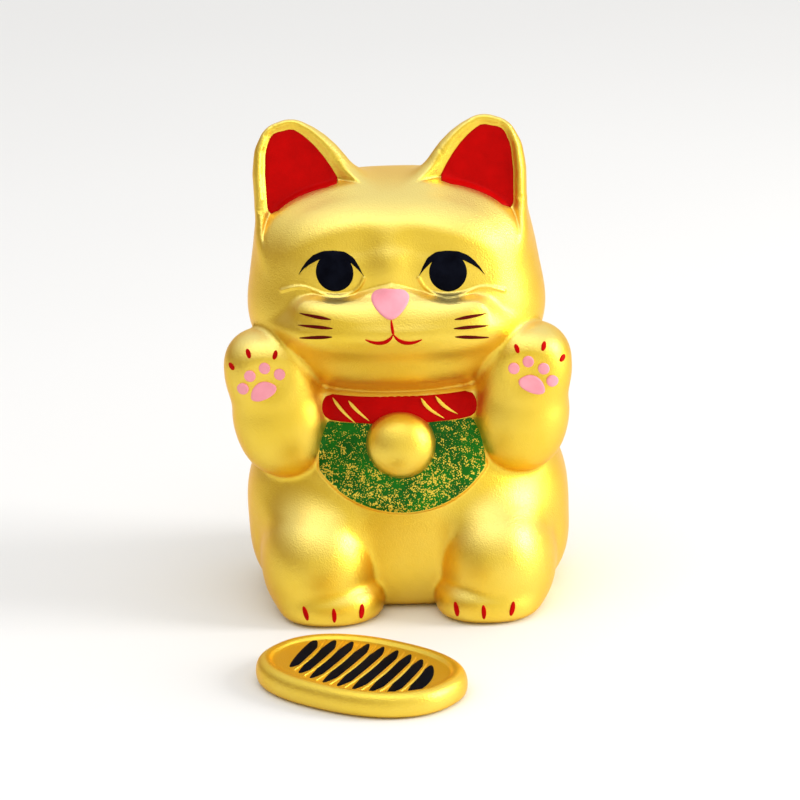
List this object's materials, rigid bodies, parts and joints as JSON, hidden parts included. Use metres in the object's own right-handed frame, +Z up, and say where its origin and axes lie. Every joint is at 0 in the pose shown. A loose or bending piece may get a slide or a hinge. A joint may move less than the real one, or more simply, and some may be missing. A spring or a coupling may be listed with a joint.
{
  "type": "beckoning cat figurine",
  "caption": "Seated beckoning-cat figurine in gilded earthenware, with both paws raised, a red collar, a green bib and a round bell, and a separate loose oval coin.",
  "frame": {"origin": "middle of the cat's underside, on the surface it stands on", "axes": "+Z up, -Y the way the cat faces, +X to the right of someone facing the cat"},
  "size_m": [0.0768, 0.1215, 0.1096],
  "materials": {
    "gilding": "satin",
    "red_enamel": "satin",
    "green_enamel": "satin",
    "pink_enamel": "satin",
    "black_enamel": "satin",
    "maroon_enamel": "satin"
  },
  "bodies": {
    "cat": {"front_shell": "gilding", "back_shell": "gilding", "base_slab": "gilding", "tail": "gilding", "left_arm": "gilding", "right_arm": "gilding", "left_ear": "gilding", "right_ear": "gilding", "left_ear_lining": "red_enamel", "right_ear_lining": "red_enamel", "left_eye": "black_enamel", "right_eye": "black_enamel", "nose": "pink_enamel", "mouth": "red_enamel", "left_whiskers": "maroon_enamel", "right_whiskers": "maroon_enamel", "collar_front": "red_enamel", "collar_back": "red_enamel", "collar_stripes": "gilding", "bib": "green_enamel", "bell": "gilding", "left_paw_pads": "pink_enamel", "right_paw_pads": "pink_enamel", "left_paw_claws": "red_enamel", "right_paw_claws": "red_enamel", "left_toe_claws": "red_enamel", "right_toe_claws": "red_enamel"},
    "coin": {"coin": "gilding", "coin_inlay": "black_enamel"}
  },
  "joints": [
    {"name": "coin_lift", "type": "slide", "parent": "cat", "child": "coin", "axis": [0, 0, 1], "range_m": [0, 0.04]}
  ]
}
